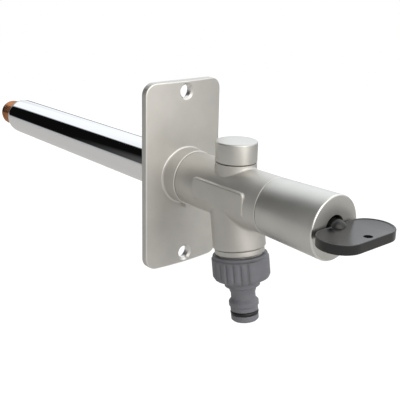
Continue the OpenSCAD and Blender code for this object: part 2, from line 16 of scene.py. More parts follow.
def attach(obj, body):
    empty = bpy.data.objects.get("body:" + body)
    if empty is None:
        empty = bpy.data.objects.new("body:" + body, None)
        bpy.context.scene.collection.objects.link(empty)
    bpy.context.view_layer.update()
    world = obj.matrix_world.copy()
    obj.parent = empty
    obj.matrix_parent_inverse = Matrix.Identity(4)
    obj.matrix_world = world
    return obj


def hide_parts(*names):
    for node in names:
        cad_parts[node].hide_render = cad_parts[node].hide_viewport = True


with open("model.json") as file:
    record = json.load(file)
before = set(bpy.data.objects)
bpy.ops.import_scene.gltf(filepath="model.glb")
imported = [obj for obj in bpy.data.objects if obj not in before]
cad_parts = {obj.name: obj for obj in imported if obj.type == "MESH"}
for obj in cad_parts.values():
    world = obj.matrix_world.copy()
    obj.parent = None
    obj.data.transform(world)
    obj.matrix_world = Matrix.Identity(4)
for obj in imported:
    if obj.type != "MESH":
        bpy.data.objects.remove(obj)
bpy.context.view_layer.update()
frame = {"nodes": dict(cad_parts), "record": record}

# %% [markdown]
# These sizes are shared by several pieces, so they stand in one place and neighbours keep fitting when
# one of them changes. Places along the tap's axis are counted from the wall towards the user, so those
# inside the wall are negative. Places along the spout are counted down from the tap's axis.

# %% Shared sizes
PLATE_W, PLATE_H, PLATE_CORNER = 58.0, 118.0, 7.5
PLATE_EDGE, PLATE_CROWN = 4.0, 2.5
PLATE_FRONT = PLATE_EDGE + PLATE_CROWN
CROWN_R = ((PLATE_W / 2) ** 2 + PLATE_CROWN ** 2) / (2 * PLATE_CROWN)
SCREW_AT, SCREW_R, SINK_R = 52.5, 4.0, 5.3
COLLAR_BORE, COLLAR_END = 14.6, 16.0
BODY_R, BODY_BORE, BODY_END, SPIGOT_END = 16.5, 10.0, 83.8, 91.0
OUTLET_Y, SPOUT_LEAN = 51.6, math.radians(9.4)
BOSS_R, BOSS_TOP, VALVE_BORE = 12.0, 18.5, 8.0
SLEEVE_R, SLEEVE_BACK, SLEEVE_FRONT, KEYHOLE_R = 17.3, 84.1, 123.5, 6.75
TUBE_R, TUBE_BORE, TUBE_START, TUBE_END = 14.3, 12.8, 28.0, -227.0
INLET_END, THREAD_PITCH = -247.0, 25.4 / 14
NECK_END, OUTLET_END, THREAD_CORE = 35.0, 46.1, 12.05
NUT_TOP, NUT_LOW, NUT_R = 36.0, 48.6, 16.8
STEP_AT, TIP_END, NIPPLE_R = 53.2, 76.38, 8.1
TURNS = 192


def sag(x):
    """How far the crowned front of the plate falls away at a distance from its middle."""
    return CROWN_R - math.sqrt(CROWN_R ** 2 - x * x)


print("plate's crown falls", round(sag(PLATE_W / 2), 2), "mm to its edges")

# %% [markdown]
# Most of a tap is turned on a lathe, so most of its pieces are a section spun about an axis. A curve with
# a Screw modifier could do that too, but bmesh's spin gives the finished mesh at once. A section is a
# list of (radius, place, rounding), and each corner that has a rounding becomes an arc, as a real edge is
# never sharp.

# %% Sections and turned pieces
def arc(centre, start, end, steps):
    """Points from start to end round a centre, the short way."""
    a, b = start - centre, end - centre
    sweep = a.angle(b)
    shares = [(math.sin(sweep * (1 - k / steps)), math.sin(sweep * k / steps)) for k in range(steps + 1)]
    return [centre + (a * of_a + b * of_b) / math.sin(sweep) for of_a, of_b in shares]


def rounded(corners, steps=5):
    """The points of a section whose corners are turned into arcs."""
    made = []
    for index, (r, z, size) in enumerate(corners):
        here = Vector((r, z))
        if size == 0:
            made.append(here)
            continue
        back = (Vector(corners[index - 1][:2]) - here).normalized()
        ahead = (Vector(corners[(index + 1) % len(corners)][:2]) - here).normalized()
        half = back.angle(ahead) / 2
        centre = here + (back + ahead).normalized() * (size / math.sin(half))
        reach = size / math.tan(half)
        made += arc(centre, here + back * reach, here + ahead * reach, steps)
    return made


def turned(section, closed=True, steps=TURNS):
    """A section spun into a full turn about Z. An open section starts and ends on the axis."""
    bm = bmesh.new()
    verts = [bm.verts.new((p[0], 0, p[1])) for p in section]
    edges = [bm.edges.new(pair) for pair in zip(verts, verts[1:])]
    if closed:
        edges.append(bm.edges.new((verts[-1], verts[0])))
    bmesh.ops.spin(bm, geom=verts + edges, cent=(0, 0, 0), axis=(0, 0, 1), angle=2 * math.pi, steps=steps,
                   use_merge=True)
    bmesh.ops.remove_doubles(bm, verts=bm.verts[:], dist=1e-4)
    bmesh.ops.recalc_face_normals(bm, faces=bm.faces[:])
    return bm


print("a full turn has", TURNS, "steps")

# %% [markdown]
# A thread is a ridge that climbs as it turns. A Screw modifier would leave its two ends blunt, so the
# ridge is spun with a rise for each step, and its crest is then pressed in over the first and the last
# turn. That is how a die runs out on a real pipe. The flats are wide, because the photographed crests are
# broad and bright.

# %% Threads
RIDGE = [("root", -0.8), ("crest", -0.42), ("crest", 0.42), ("root", 0.8)]
ROOT_SUNK = 0.2


def helix(core, crest, start, end, steps=60):
    """A thread's ridge about Z, faded out at both of its ends."""
    bm = bmesh.new()
    radius = {"root": core - ROOT_SUNK, "crest": crest}
    verts = [bm.verts.new((radius[part], 0, start + THREAD_PITCH * at)) for part, at in RIDGE]
    edges = [bm.edges.new((verts[k], verts[(k + 1) % 4])) for k in range(4)]
    count = round((end - start) / THREAD_PITCH * steps)
    bmesh.ops.spin(bm, geom=verts + edges, cent=(0, 0, 0), axis=(0, 0, 1), dvec=(0, 0, THREAD_PITCH / steps),
                   angle=2 * math.pi * count / steps, steps=count, use_merge=False)
    for v in bm.verts:
        r = math.hypot(v.co.x, v.co.y)
        fade = min(1, max(0, (v.co.z - start) / THREAD_PITCH), max(0, (end - v.co.z) / THREAD_PITCH))
        limit = radius["root"] + (crest - radius["root"]) * fade
        if r > limit:
            v.co.x *= limit / r
            v.co.y *= limit / r
    bmesh.ops.recalc_face_normals(bm, faces=bm.faces[:])
    return bm


print("a thread rises", round(THREAD_PITCH, 3), "mm a turn")

# %% [markdown]
# The tap has three directions to work in: its own axis, the leaning spout and the upright air valve. Each
# is a matrix, so that a piece can be made about Z and laid into its place. A finished mesh is scaled to
# metres with its place in the mesh itself, so its object stays at the origin. It then gets its finish and
# rides on its body.

# %% Frames and finished pieces
ALONG_TAP = Matrix.Rotation(math.pi / 2, 4, "X")
ALONG_SPOUT = Matrix.Translation((0, -OUTLET_Y, 0)) @ Matrix.Rotation(-SPOUT_LEAN, 4, "X")
UPRIGHT = Matrix.Translation((0, -OUTLET_Y, 0))


def place(bm, matrix):
    """Moves a mesh into the frame."""
    bmesh.ops.transform(bm, matrix=matrix, verts=bm.verts[:])
    return bm


def plug(section, matrix, steps=96):
    """A solid turned piece in its place, for cutting."""
    return place(turned(rounded(section), closed=False, steps=steps), matrix)


def block(middle, size):
    """A box, from its middle and its three sizes."""
    bm = bmesh.new()
    bmesh.ops.create_cube(bm, size=1, matrix=Matrix.Translation(middle) @ Matrix.Diagonal((*size, 1)))
    return bm


def keep(bm, name, body, finish, stands_for=(), crease=32, weighted=False):
    """Turns a mesh in millimetres into a finished piece that rides on a body."""
    bmesh.ops.scale(bm, vec=(0.001, 0.001, 0.001), verts=bm.verts[:])
    mesh = bpy.data.meshes.new(name)
    bm.to_mesh(mesh)
    bm.free()
    mesh.materials.append(finish)
    mesh.shade_smooth()
    mesh.set_sharp_from_angle(angle=math.radians(crease))
    piece = bpy.data.objects.new(name, mesh)
    bpy.context.scene.collection.objects.link(piece)
    if weighted:
        even = piece.modifiers.new("even_normals", "WEIGHTED_NORMAL")
        even.keep_sharp = True
        even.weight = 80
    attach(piece, body)
    if stands_for:
        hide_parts(*stands_for)
    print(name, "has", len(mesh.polygons), "faces")
    return piece


print("the spout leans", round(math.degrees(SPOUT_LEAN), 1), "degrees")

# %% [markdown]
# Some shapes are simplest as one solid cut from another, such as a hole through a crowned plate. bmesh
# has no boolean, so the meshes are put on passing objects, and the Boolean modifier's exact solver does
# the work. Meshes that only overlap out of sight are joined without cutting, which keeps their clean
# faces.

# %% Cutting and joining
def joined(*parts):
    """Several meshes in one."""
    bm = bmesh.new()
    for part in parts:
        mesh = bpy.data.meshes.new("part")
        part.to_mesh(mesh)
        part.free()
        bm.from_mesh(mesh)
        bpy.data.meshes.remove(mesh)
    return bm


def carve(bm, cutters, operation="DIFFERENCE"):
    """Cuts meshes from the first one, or unites them with it, and gives back one mesh."""
    made = []
    for part in [bm, *cutters]:
        mesh = bpy.data.meshes.new("carved")
        part.to_mesh(mesh)
        part.free()
        made.append(bpy.data.objects.new("carved", mesh))
        bpy.context.scene.collection.objects.link(made[-1])
    for cutter in made[1:]:
        cut = made[0].modifiers.new("cut", "BOOLEAN")
        cut.operation = operation
        cut.solver = "EXACT"
        cut.object = cutter
    shaped = made[0].evaluated_get(bpy.context.evaluated_depsgraph_get())
    out = bmesh.new()
    out.from_mesh(shaped.to_mesh())
    shaped.to_mesh_clear()
    for item in made:
        mesh = item.data
        bpy.data.objects.remove(item)
        bpy.data.meshes.remove(mesh)
    return out


print("ready to cut and join")

# %% [markdown]
# A wire is one number or colour on its way through a shader, and it can be added, multiplied and so on
# like a number. That reads as the formula it is, where a long list of nodes and links would hide it.

# %% Shader maths
class Wire:
    """One output of a shader node."""

    def __init__(self, finish, socket):
        self.finish = finish
        self.socket = socket

    def math(self, operation, *values):
        return self.finish.node("ShaderNodeMath", {"operation": operation}, dict(enumerate(values)))

    def __add__(self, other):
        return self.math("ADD", self, other)

    def __radd__(self, other):
        return self.math("ADD", other, self)

    def __sub__(self, other):
        return self.math("SUBTRACT", self, other)

    def __rsub__(self, other):
        return self.math("SUBTRACT", other, self)

    def __mul__(self, other):
        return self.math("MULTIPLY", self, other)

    def __rmul__(self, other):
        return self.math("MULTIPLY", other, self)

    def __truediv__(self, other):
        return self.math("DIVIDE", self, other)

    def __rtruediv__(self, other):
        return self.math("DIVIDE", other, self)

    def __pow__(self, other):
        return self.math("POWER", self, other)

    def ramp(self, low, high):
        """0 below low, 1 above high and even in between."""
        ends = {0: self, 1: low, 2: high, 3: 0.0, 4: 1.0}
        return self.finish.node("ShaderNodeMapRange", {"clamp": True}, ends)

    def band(self, low, high, soft=0.06):
        """1 from low to high and 0 outside, with soft edges."""
        return self.ramp(low - soft, low) * (1 - self.ramp(high, high + soft))


def fill_ramp(ramp, stops):
    """Gives a colour ramp its stops, each a place from 0 to 1 and a colour."""
    while len(ramp.elements) < len(stops):
        ramp.elements.new(0.5)
    for element, (at, colour) in zip(ramp.elements, stops):
        element.position = at
        element.color = (*colour, 1)


print("shader maths is ready")

# %% [markdown]
# A finish is one material: it starts with a Principled shader and puts other nodes in front of it.
# Patterns read Object coordinates, so that a grain keeps its size in millimetres and stays where it is
# when a body moves. Every node comes from one method, and a number that doesn't vary is set on its socket
# directly.

# %% Finishes
class Finish:
    """A material that is built node by node."""

    def __init__(self, name, base, roughness, metallic=0.0, **even):
        self.material = bpy.data.materials.new(name)
        self.material.use_nodes = True
        self.tree = self.material.node_tree
        self.shader = next(n for n in self.tree.nodes if n.type == "BSDF_PRINCIPLED")
        self.shader.inputs["Base Color"].default_value = (*base, 1)
        self.shader.inputs["Roughness"].default_value = roughness
        self.shader.inputs["Metallic"].default_value = metallic
        for key, value in even.items():
            self.shader.inputs[key.replace("_", " ")].default_value = value
        self.place = self.node("ShaderNodeTexCoord", out=3)

    def node(self, kind, settings=None, values=None, out=0):
        """Adds a node, its settings first, and gives one of its outputs."""
        made = self.tree.nodes.new(kind)
        for key, value in (settings or {}).items():
            if key == "stops":
                fill_ramp(made.color_ramp, value)
            else:
                setattr(made, key, value)
        for key, value in (values or {}).items():
            if isinstance(value, Wire):
                self.tree.links.new(value.socket, made.inputs[key])
            else:
                made.inputs[key].default_value = value
        return Wire(self, made.outputs[out])

    def axes(self, vector):
        """The three numbers of a vector."""
        first = self.node("ShaderNodeSeparateXYZ", {}, {0: vector})
        return [Wire(self, socket) for socket in first.socket.node.outputs]

    def grain(self, size, detail=2.0, stretch=(1, 1, 1)):
        """Noise whose grains have a size in millimetres, stretched along the axes."""
        scaled = self.node("ShaderNodeMapping", {"vector_type": "POINT"}, {0: self.place, 3: stretch})
        values = {"Vector": scaled, "Scale": 1000 / size, "Detail": detail}
        return self.node("ShaderNodeTexNoise", {}, values)

    def mix(self, factor, a, b):
        """A colour between two others."""
        values = {0: factor}
        for key, value in ((6, a), (7, b)):
            values[key] = value if isinstance(value, Wire) else (*value, 1)
        return self.node("ShaderNodeMix", {"data_type": "RGBA"}, values, out=2)

    def feed(self, key, wire):
        """Leads a wire into the shader."""
        self.tree.links.new(wire.socket, self.shader.inputs[key])

    def relief(self, height):
        """Bumps whose height is given in millimetres."""
        values = {"Height": height, "Distance": 0.001, "Strength": 1.0}
        self.feed("Normal", self.node("ShaderNodeBump", {}, values))


def tinted(colour, share):
    """A colour made lighter or darker by a share."""
    return tuple(c * share for c in colour)


print("finishes can be made")

# %% [markdown]
# The cast and turned outer pieces are brass with a satin nickel plate. It has a fine blasted grain, a
# slight drift in its polish and slow waves where the casting shows through. Painted highlights lighten
# the colour along the rims, along the plate's outer edge and round its screw holes, and the roughness is
# lower there. Those could be strips of faces with a second material, but a mask on the distance from the
# axis stays exact however the mesh is cut. A highlight rim is (inner radius, outer radius, low y, high
# y, share), in millimetres.

# %% Satin nickel
# The light colour that the painted highlights are mixed towards.
HIGHLIGHT_TINT = (0.9, 0.89, 0.87)


def plate_highlights(x, z):
    """Where the plate gets a painted highlight: round its screw holes and along its outer edge."""
    rise = z.math("ABSOLUTE", z) - SCREW_AT
    holes = (x * x + rise * rise).band(-1, SINK_R ** 2) * 0.7
    beside = x.math("ABSOLUTE", x) - (PLATE_W / 2 - PLATE_CORNER)
    above = z.math("ABSOLUTE", z) - (PLATE_H / 2 - PLATE_CORNER)
    wide, tall = (side.math("MAXIMUM", side, 0) for side in (beside, above))
    return holes + ((wide * wide + tall * tall) ** 0.5).band(6.7, 7.35) * 0.6


def satin_nickel(name, base, rough, waves, rims, plate=False):
    """Satin nickel over brass, with the depth of the casting's waves in millimetres, and painted highlights
    on its rims.
    """
    f = Finish(name, base, rough, 1.0)
    cloud = f.grain(14, 3.0)
    blast = f.grain(0.32, 2.0)
    dust = f.grain(1.6, 4.0)
    tone = f.mix(cloud.ramp(0.3, 0.7), tinted(base, 0.96), tinted(base, 1.03))
    x, y, z = (axis * 1000 for axis in f.axes(f.place))
    radius = (x * x + z * z) ** 0.5
    # Painted highlight: on each rim, and round the plate's screw holes and edge, the colour is mixed towards
    # a light tint and the roughness is lowered.
    bright = 0.0
    for inner, outer, low, high, share in rims:
        bright = bright + radius.band(inner, outer) * y.band(low, high) * share
    if plate:
        bright = bright + plate_highlights(x, z)
    f.feed("Base Color", f.mix(bright, tone, HIGHLIGHT_TINT))
    f.feed("Roughness", rough - 0.03 + cloud * 0.04 + dust * 0.03 - bright * 0.28)
    f.relief(blast * 0.010 + cloud * waves)
    return f.material


# The rims are painted highlights: the collar's front rim and its foot on the plate, the body's end at the
# sleeve's seam, and the sleeve's front rim.
PLATE = satin_nickel("satin_nickel_plate", (0.64, 0.63, 0.60), 0.54, 0.02,
                     [(16.5, 18, -16.1, -15.6, 0.8), (17.5, 18.4, -7.4, -4, 0.6)], plate=True)
CAST = satin_nickel("satin_nickel_cast", (0.63, 0.62, 0.59), 0.5, 0.02, [(16, 17, -84, -83.5, 0.4)])
TURNED = satin_nickel("satin_nickel_turned", (0.64, 0.635, 0.605), 0.42, 0.0,
                      [(16.6, 18, -123.6, -122.7, 0.7)])
print("satin nickel:", PLATE.name, CAST.name, TURNED.name)

# %% [markdown]
# The tube is chromed and polished. A perfect mirror looks false, so hair-thin drawing marks run along it,
# made by noise that is stretched a hundred times along Y. The inlet is bare turned gunmetal, a copper
# alloy. It carries the rings of the lathe and has browner patches, as such bare metal does.

# %% Chrome and gunmetal
def chrome():
    f = Finish("polished_chrome", (0.86, 0.865, 0.87), 0.04, 1.0)
    marks = f.grain(0.25, 2.0, (1, 0.01, 1))
    smear = f.grain(9, 3.0, (1, 0.25, 1))
    f.feed("Roughness", 0.03 + smear.ramp(0.45, 0.8) * 0.05 + marks * 0.02)
    f.relief(marks * 0.0006)
    return f.material


def gunmetal():
    f = Finish("turned_gunmetal", (0.38, 0.17, 0.09), 0.12, 1.0, Specular_Tint=(0.9, 0.7, 0.55, 1))
    lathe = f.grain(0.12, 1.0, (0.02, 1, 0.02))
    stain = f.grain(3.0, 3.0)
    f.feed("Base Color", f.mix(stain.ramp(0.4, 0.75), (0.42, 0.195, 0.105), (0.24, 0.095, 0.045)))
    f.feed("Roughness", 0.06 + lathe * 0.05 + stain * 0.05)
    f.relief(lathe * 0.001)
    return f.material


CHROME, GUNMETAL = chrome(), gunmetal()
print("bright metals:", CHROME.name, GUNMETAL.name)

# %% [markdown]
# The connector is a matt blue grey moulding with a spark-eroded grain. The key is black, with a finer
# grain and a gloss. The nylon of the inner pieces is milky, and the seals are black rubber. They differ
# only in numbers, so one function makes all four.

# %% Plastics and rubber
def moulded(name, base, rough, grain_size, depth, drift=0.06):
    """A plastic or a rubber, with the size and depth of its grain in millimetres."""
    f = Finish(name, base, rough)
    fine = f.grain(grain_size, 2.0)
    cloud = f.grain(7, 2.0)
    f.feed("Base Color", f.mix(cloud.ramp(0.3, 0.7), tinted(base, 1 - drift), tinted(base, 1 + drift)))
    f.feed("Roughness", rough - 0.04 + fine * 0.08)
    f.relief(fine * depth)
    return f.material


GREY = moulded("grey_plastic", (0.178, 0.183, 0.205), 0.5, 0.35, 0.012)
BLACK = moulded("black_plastic", (0.015, 0.015, 0.0155), 0.19, 0.3, 0.001)
NYLON = moulded("white_nylon", (0.80, 0.79, 0.73), 0.45, 0.5, 0.006)
RUBBER = moulded("rubber", (0.006, 0.006, 0.0065), 0.36, 0.6, 0.006, 0.15)
print("soft finishes:", GREY.name, BLACK.name, NYLON.name, RUBBER.name)

# %% [markdown]
# The hidden pieces are turned brass and stainless steel, with the fine rings that a lathe leaves. They
# are the CAD nodes themselves, which have the real shapes already, so they only get a finish by their
# slot.

# %% Inner metals
def lathed(name, base, stained, rough):
    f = Finish(name, base, rough, 1.0)
    rings = f.grain(0.2, 1.0, (0.02, 1, 0.02))
    stain = f.grain(5, 3.0)
    f.feed("Base Color", f.mix(stain.ramp(0.35, 0.75), base, stained))
    f.feed("Roughness", rough + rings * 0.1)
    f.relief(rings * 0.004)
    return f.material


BRASS = lathed("brass", (0.78, 0.60, 0.30), (0.66, 0.48, 0.22), 0.24)
STEEL = lathed("steel", (0.62, 0.62, 0.61), (0.55, 0.55, 0.55), 0.26)
BY_SLOT = {"satin_nickel": TURNED, "polished_chrome": CHROME, "gunmetal": GUNMETAL,
           "brass": BRASS, "steel": STEEL, "rubber": RUBBER,
           "white_nylon": NYLON, "black_plastic": BLACK, "grey_plastic": GREY}
slots = {part["node"]: part["material_slot"] for part in frame["record"]["subparts"]}
for name, node in frame["nodes"].items():
    node.data.materials.clear()
    node.data.materials.append(BY_SLOT[slots[name]])
print("finishes on", len(slots), "CAD nodes")

# %% [markdown]
# The wall plate is a casting with rounded corners, crowned across its width and hollow behind. The crown
# could be cut by a large cylinder, but that leaves long thin faces that shade badly. So the slab gets its
# eased front edge and is sliced into strips, and its front points are then let down by the crown's sag.

# %% Plate slab
def plate_outline(margin):
    """The plate's outline, drawn in by a margin."""
    w, h, r = PLATE_W / 2 - margin, PLATE_H / 2 - margin, PLATE_CORNER - margin
    return rounded([(w, -h, r), (w, h, r), (-w, h, r), (-w, -h, r)], steps=10)


def slab(margin, low, high, strip=1.45, ease=0.0):
    """A slab of the plate's outline, cut into strips so that its front can be crowned."""
    bm = bmesh.new()
    face = bm.faces.new([bm.verts.new((p[0], p[1], low)) for p in plate_outline(margin)])
    grown = bmesh.ops.extrude_face_region(bm, geom=[face])["geom"]
    tops = [g for g in grown if isinstance(g, bmesh.types.BMVert)]
    bmesh.ops.translate(bm, vec=(0, 0, high - low), verts=tops)
    bmesh.ops.recalc_face_normals(bm, faces=bm.faces[:])
    if ease > 0:
        rim = [e for e in bm.edges if all(v.co.z > high - 0.01 for v in e.verts)]
        bmesh.ops.bevel(bm, geom=rim, offset=ease, segments=4, profile=0.5, affect="EDGES", material=-1)
    x = -math.floor(PLATE_W / 2 / strip) * strip
    while x < PLATE_W / 2:
        bmesh.ops.bisect_plane(bm, geom=bm.verts[:] + bm.edges[:] + bm.faces[:], plane_co=(x, 0, 0),
                               plane_no=(1, 0, 0))
        x += strip
    for v in bm.verts:
        if v.co.z > 1:
            v.co.z -= sag(min(abs(v.co.x), PLATE_W / 2))
    return bm


plate = slab(0, 0, PLATE_FRONT, ease=0.7)
hollow = slab(2.2, -1, PLATE_FRONT - 3.2)
print("slab and hollow:", len(plate.faces), len(hollow.faces), "faces")

# %% [markdown]
# The collar rises from the plate on a small cast fillet and carries a lug below. The fillet follows the
# crown, which a plain turned piece can't do, so its foot is let down by the same sag, which fades out
# above it.

# %% Collar and lug
def crowned_foot(bm, top, fade=2):
    """Lets the foot of a turned piece follow the plate's crown, fading out towards a height."""
    for v in bm.verts:
        weight = min(1, max(0, (top - v.co.z) / fade))
        v.co.z -= sag(min(abs(v.co.x), PLATE_W / 2)) * weight
    return bm


collar = crowned_foot(turned(rounded([
    (COLLAR_BORE, 0.3, 0), (17, 0.3, 0), (17, 5.9, 0), (19.4, 6.2, 0), (18.9, 6.46, 0.3),
    (17.5, 6.48, 0.9), (17.1, COLLAR_END, 0.4), (COLLAR_BORE, COLLAR_END, 0)])), 8.6)
lug = block((0, -19.2, 7.4), (5, 3.4, 5))
bmesh.ops.bevel(lug, geom=lug.edges[:], offset=0.6, segments=3, profile=0.5, affect="EDGES", material=-1)
print("collar:", len(collar.faces), "faces, lug:", len(lug.faces))

# %% [markdown]
# Each screw passes through a boss in the hollow and has a countersink in front, with a wider bore behind.
# On a crowned front a countersink's edge isn't a flat circle, and that comes by itself when a turned
# cutter goes through.

# %% Screw holes and the finished plate
SCREW_PLACES = [Matrix.Translation((0, side * SCREW_AT, 0)) for side in (-1, 1)]
screw_bosses = [plug([(0, -2, 0), (6.2, -2, 0), (6.2, 6, 0), (0, 6, 0)], at, 64) for at in SCREW_PLACES]
screw_holes = [plug([
    (0, -2, 0), (SINK_R, -2, 0), (SINK_R, 3.3, 0), (SCREW_R, 3.3, 0), (SCREW_R, 5.1, 0.4),
    (SINK_R, 6.45, 0.25), (5.5, 9, 0), (0, 9, 0)], at) for at in SCREW_PLACES]
tube_hole = plug([(0, -3, 0), (COLLAR_BORE, -3, 0), (COLLAR_BORE, 12, 0), (0, 12, 0)], Matrix(), TURNS)
plate = carve(plate, [carve(hollow, screw_bosses), *screw_holes, tube_hole])
plate = carve(plate, [collar, lug], "UNION")
keep(place(plate, ALONG_TAP), "plate_casting", "tap", PLATE, ["wall_plate"], crease=28,
     weighted=True)

# %% [markdown]
# The tube through the wall is long, thin and chromed, and drawn in to a rounded nose. The nose is a
# quarter of an ellipse in the section. The straight part has a ring every 20 mm, as very long faces shade
# unevenly.

# %% Casing tube
NOSE_IN, NOSE_LENGTH = 2.9, 7.1
nose = [Vector((TUBE_R - NOSE_IN + NOSE_IN * math.cos(a), TUBE_END + 7.4 - NOSE_LENGTH * math.sin(a)))
        for a in (math.radians(k * 5) for k in range(18))]
tube_outside = [Vector((TUBE_R, z)) for z in (TUBE_START, *range(0, -211, -20))] + nose
tube_lip = [Vector((r, TUBE_END + z)) for r, z in ((11.25, 0.15), (10.9, 0), (10.64, 0.2), (10.62, 1.4))]
tube_inside = [Vector((TUBE_BORE, TUBE_END + 4.8)), Vector((TUBE_BORE, TUBE_START))]
tube = place(turned(tube_outside + tube_lip + tube_inside), ALONG_TAP)
keep(tube, "chromed_tube", "tap", CHROME, ["casing_tube"], crease=40)

# %% [markdown]
# The gunmetal inlet has a G 1/2 thread with 14 turns to the inch, which screws into the supply pipe. Its
# wall is turned first and the ridge is laid on it, because a boolean with a long thread is slow and can
# fail.

# %% Inlet with its thread
stub = turned(rounded([
    (7.5, INLET_END, 0.3), (9.2, INLET_END, 0.3), (9.4, -246.2, 0.2), (9.4, -227.9, 0.2),
    (10.15, -227.3, 0.2), (10.15, -225.8, 0), (12.4, -222, 0), (12.7, -216, 0), (12.7, -212, 0),
    (7.2, -212, 0), (7.2, -210, 0.3), (5.5, -210, 0.3), (5.5, -215, 0), (7.5, -215, 0)]))
inlet = joined(stub, helix(9.4, 10.47, INLET_END + 1.6, -227.2))
keep(place(inlet, ALONG_TAP), "threaded_inlet", "tap", GUNMETAL, ["inlet_stub"], crease=30)

# %% [markdown]
# The cast body has a spout and a boss that leave its barrel over soft fillets. A bevel on a boolean's
# edge is uneven there, and no operator rolls a ball round a corner of two cylinders. So the fillet is
# worked out ring by ring: the ball's centre is a fixed distance from both axes, which gives the two lines
# where it touches.

# %% Rolling ball fillets
FILLET_ARCS = 14


def ring_of(bm, points):
    return [bm.verts.new(p) for p in points]


def skin(bm, rings):
    """Quads between rings of the same count, and a face over each open end."""
    for a, b in zip(rings, rings[1:]):
        for k in range(len(a)):
            bm.faces.new((a[k - 1], a[k], b[k], b[k - 1]))
    bm.faces.new(rings[0])
    bm.faces.new(rings[-1])
    bmesh.ops.recalc_face_normals(bm, faces=bm.faces[:])
    return bm


def branch(radius, crown, flank, down, section):
    """A branch along down, from (place, radius) pairs, with the ball's size at its crown and flanks."""
    origin, across = Vector((0, -OUTLET_Y, 0)), Vector((1, 0, 0))
    beside = down.cross(across)
    rings = [[] for _ in range(FILLET_ARCS + 3 + len(section))]
    for k in range(TURNS):
        turn = 2 * math.pi * k / TURNS
        out = across * math.cos(turn) + beside * math.sin(turn)
        ball = crown + (flank - crown) * math.cos(turn) ** 2
        x, z = (radius + ball) * out.x, (radius + ball) * out.z
        level = math.copysign(math.sqrt((BODY_R + ball) ** 2 - x * x), down.z)
        at = (level - z) / down.z
        centre = origin + down * at + out * (radius + ball)
        shrink = BODY_R / (BODY_R + ball)
        on_barrel = Vector((centre.x * shrink, centre.y, centre.z * shrink))
        fillet = arc(centre, on_barrel, origin + down * at + out * radius, FILLET_ARCS)
        edge = on_barrel + (on_barrel - fillet[1]).normalized() * 0.4
        sunk = (BODY_R - 0.01) / math.hypot(edge.x, edge.z)
        foot = [origin + out * radius * 0.5 + down * 3, Vector((edge.x * sunk, edge.y, edge.z * sunk))]
        above = [origin + down * place_down + out * r for place_down, r in section]
        for ring, point in zip(rings, foot + fillet + above):
            ring.append(point)
    bm = bmesh.new()
    return skin(bm, [ring_of(bm, points) for points in rings])


print("a fillet has", FILLET_ARCS * TURNS, "faces")

# %% [markdown]
# The spout leans forward and widens a little towards its shoulder. The boss for the air valve stands
# upright. Both end in a rounded rim and a recess, so both are a branch with its own section.

# %% Spout and boss
DOWN = Vector((0, -math.sin(SPOUT_LEAN), -math.cos(SPOUT_LEAN)))
SHOULDER, SHOULDER_R = 31.4, 15.45


def rounded_rim(end, radius, size, degrees):
    """The rounded rim at a branch's end, as (place, radius) pairs."""
    return [(end - size + size * math.sin(a), radius - size + size * math.cos(a))
            for a in (math.radians(d) for d in degrees)]


spout_section = [(22, 15.26), (26, 15.34), (30.9, 15.44)]
spout_section += rounded_rim(SHOULDER, SHOULDER_R, 0.5, (22, 45, 68, 90))
spout_section += [(SHOULDER, 14.0), (SHOULDER - 0.2, 9.2)]
boss_section = rounded_rim(BOSS_TOP, BOSS_R, 0.3, (30, 60, 90))
boss_section += [(BOSS_TOP, 9.6), (BOSS_TOP - 1.2, 9.4), (BOSS_TOP - 1.2, 8.0)]
spout = branch(15.18, 2.2, 2.2, DOWN, spout_section)
boss = branch(BOSS_R, 1.7, 1.0, Vector((0, 0, 1)), boss_section)
print("branches:", len(spout.faces), len(boss.faces), "faces")

# %% [markdown]
# The barrel is turned with its waterway and the spigot that carries the sleeve. Below the spout's
# shoulder comes an undercut, the neck and a G 3/4 thread for the hose connector. The upright hole for the
# air valve is cut through the boss and the barrel's wall, so that the float has room to move.

# %% Barrel and outlet
barrel = place(turned(rounded([
    (14.35, COLLAR_END + 0.02, 0), (16.05, COLLAR_END + 0.02, 0), (16.05, 16.4, 0.1), (BODY_R, 16.75, 0.2),
    (BODY_R, BODY_END, 0.35), (14.6, BODY_END, 0), (14.6, SPIGOT_END, 0.4), (12.02, SPIGOT_END, 0.3),
    (12.02, 63.4, 0), (BODY_BORE, 63.4, 0), (BODY_BORE, TUBE_START, 0), (14.35, TUBE_START, 0)])), ALONG_TAP)
outlet = turned(rounded([
    (9, -31.2, 0), (13.9, -31.2, 0), (13.9, -31.7, 0.1), (14.5, -32.1, 0.1), (14.5, -NECK_END, 0.3),
    (THREAD_CORE, 0.2 - NECK_END, 0), (THREAD_CORE, -OUTLET_END, 0.5), (9, -OUTLET_END, 0.3)]))
outlet = joined(outlet, helix(THREAD_CORE, 13.2, 1.5 - OUTLET_END, 0.3 - NECK_END))
place(outlet, ALONG_SPOUT)


def valve_bore():
    """The upright hole for the air valve."""
    return plug([(0, 1, 0), (VALVE_BORE, 1, 0), (VALVE_BORE, 24, 0), (0, 24, 0)], UPRIGHT)


barrel, boss = (carve(solid, [valve_bore()]) for solid in (barrel, boss))
print("barrel:", len(barrel.faces), "faces, boss:", len(boss.faces), "outlet:", len(outlet.faces))

# %% [markdown]
# On its left the barrel has a flat panel. It stands on a ledge above and runs out tangent to the barrel
# below. It could be filed flat from a thicker barrel, but an outline drawn out sideways, with a bevelled
# rim, gives its edges directly. The run-out below is a shear of the lower points, with extra cuts so that
# it bends softly.

# %% Side panel and the finished body
PANEL_MID, PANEL_HALF, PANEL_OUT = -54.0, 21.0, 17.0
PANEL_TOP, PANEL_BEND, PANEL_FOOT, PANEL_RUN_IN = 8.0, -4.0, -8.84, 3.07


